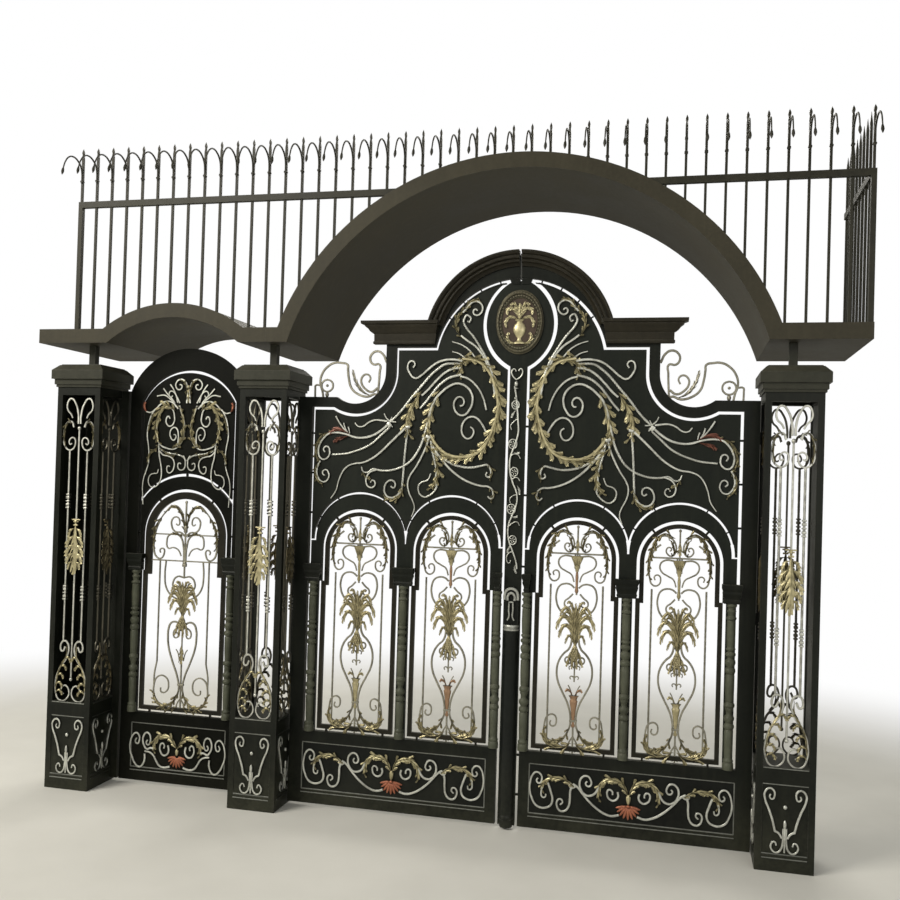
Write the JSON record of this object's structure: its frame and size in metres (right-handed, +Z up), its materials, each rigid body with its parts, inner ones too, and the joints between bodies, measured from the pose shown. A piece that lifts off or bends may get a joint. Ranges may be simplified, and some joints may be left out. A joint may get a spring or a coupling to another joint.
{
  "type": "wrought iron driveway gate with walk gate, open posts and arched canopy",
  "caption": "Double swing driveway gate and arched walk gate in scrolled ironwork, hung between open box posts under an arched canopy with a spear railing.",
  "frame": {"origin": "middle of the underside of the middle post, at ground level", "axes": "+X along the gate to the right as seen from the street, +Y from the street into the drive, +Z up; drawn closed"},
  "size_m": [4.95, 1.1143, 4.035],
  "materials": {
    "post_paint": "satin greenish black paint with silver rubbed edges",
    "silver_ironwork": "silver patina over black",
    "silver_scrolls": "silver patina over black",
    "canopy_paint": "weathered brown-grey paint",
    "railing_paint": "dull dark grey paint",
    "dark_frame": "satin near-black paint",
    "dark_plate": "satin greenish black paint",
    "window_frame": "satin near-black paint with a light inner edge",
    "gold_ironwork": "aged gold and silver patina",
    "olive_columns": "grey olive patina",
    "black_panel": "satin black paint",
    "cornice_paint": "satin brown-black paint with lighter edges",
    "medallion_gold": "aged gold and copper patina",
    "lock_metal": "rubbed silver patina"
  },
  "bodies": {
    "gate_posts": {"left_post": "post_paint", "middle_post": "post_paint", "right_post": "post_paint", "post_caps": "post_paint", "post_grilles": "silver_ironwork", "post_base_scrolls": "silver_scrolls", "canopy_walk_span": "canopy_paint", "canopy_drive_arch": "canopy_paint", "railing_left": "railing_paint", "railing_over_arch": "railing_paint", "railing_right": "railing_paint", "railing_return": "railing_paint", "railing_hooks": "railing_paint"},
    "left_leaf": {"left_leaf_frame": "dark_frame", "left_leaf_upper_plate": "dark_plate", "left_leaf_arcade": "dark_plate", "left_leaf_window_frames": "window_frame", "left_leaf_grilles": "gold_ironwork", "left_leaf_columns": "olive_columns", "left_leaf_bottom_panel": "black_panel", "left_leaf_cornice": "cornice_paint", "left_leaf_scrolls": "silver_scrolls", "left_leaf_shoulder_scroll": "silver_scrolls"},
    "right_leaf": {"right_leaf_frame": "dark_frame", "right_leaf_upper_plate": "dark_plate", "right_leaf_arcade": "dark_plate", "right_leaf_window_frames": "window_frame", "right_leaf_grilles": "gold_ironwork", "right_leaf_columns": "olive_columns", "right_leaf_bottom_panel": "black_panel", "right_leaf_cornice": "cornice_paint", "right_leaf_scrolls": "silver_scrolls", "right_leaf_shoulder_scroll": "silver_scrolls", "meeting_stile": "dark_plate", "medallion": "medallion_gold", "lock_case": "lock_metal", "centre_pole": "black_panel"},
    "walk_gate": {"walk_gate_frame": "dark_frame", "walk_gate_upper_plate": "dark_plate", "walk_gate_window_frame": "window_frame", "walk_gate_grille": "gold_ironwork", "walk_gate_columns": "olive_columns", "walk_gate_bottom_panel": "black_panel", "walk_gate_scrolls": "silver_scrolls"}
  },
  "joints": [
    {"name": "left_leaf_hinge", "type": "hinge", "parent": "gate_posts", "child": "left_leaf", "pos_m": [0.172, 0.092, 0.32], "axis": [0, 0, 1], "range_deg": [0, 90]},
    {"name": "right_leaf_hinge", "type": "hinge", "parent": "gate_posts", "child": "right_leaf", "pos_m": [2.848, 0.092, 0.32], "axis": [0, 0, -1], "range_deg": [0, 90]},
    {"name": "walk_gate_hinge", "type": "hinge", "parent": "gate_posts", "child": "walk_gate", "pos_m": [-0.2075, 0.157, 0.32], "axis": [0, 0, -1], "range_deg": [0, 90]}
  ]
}
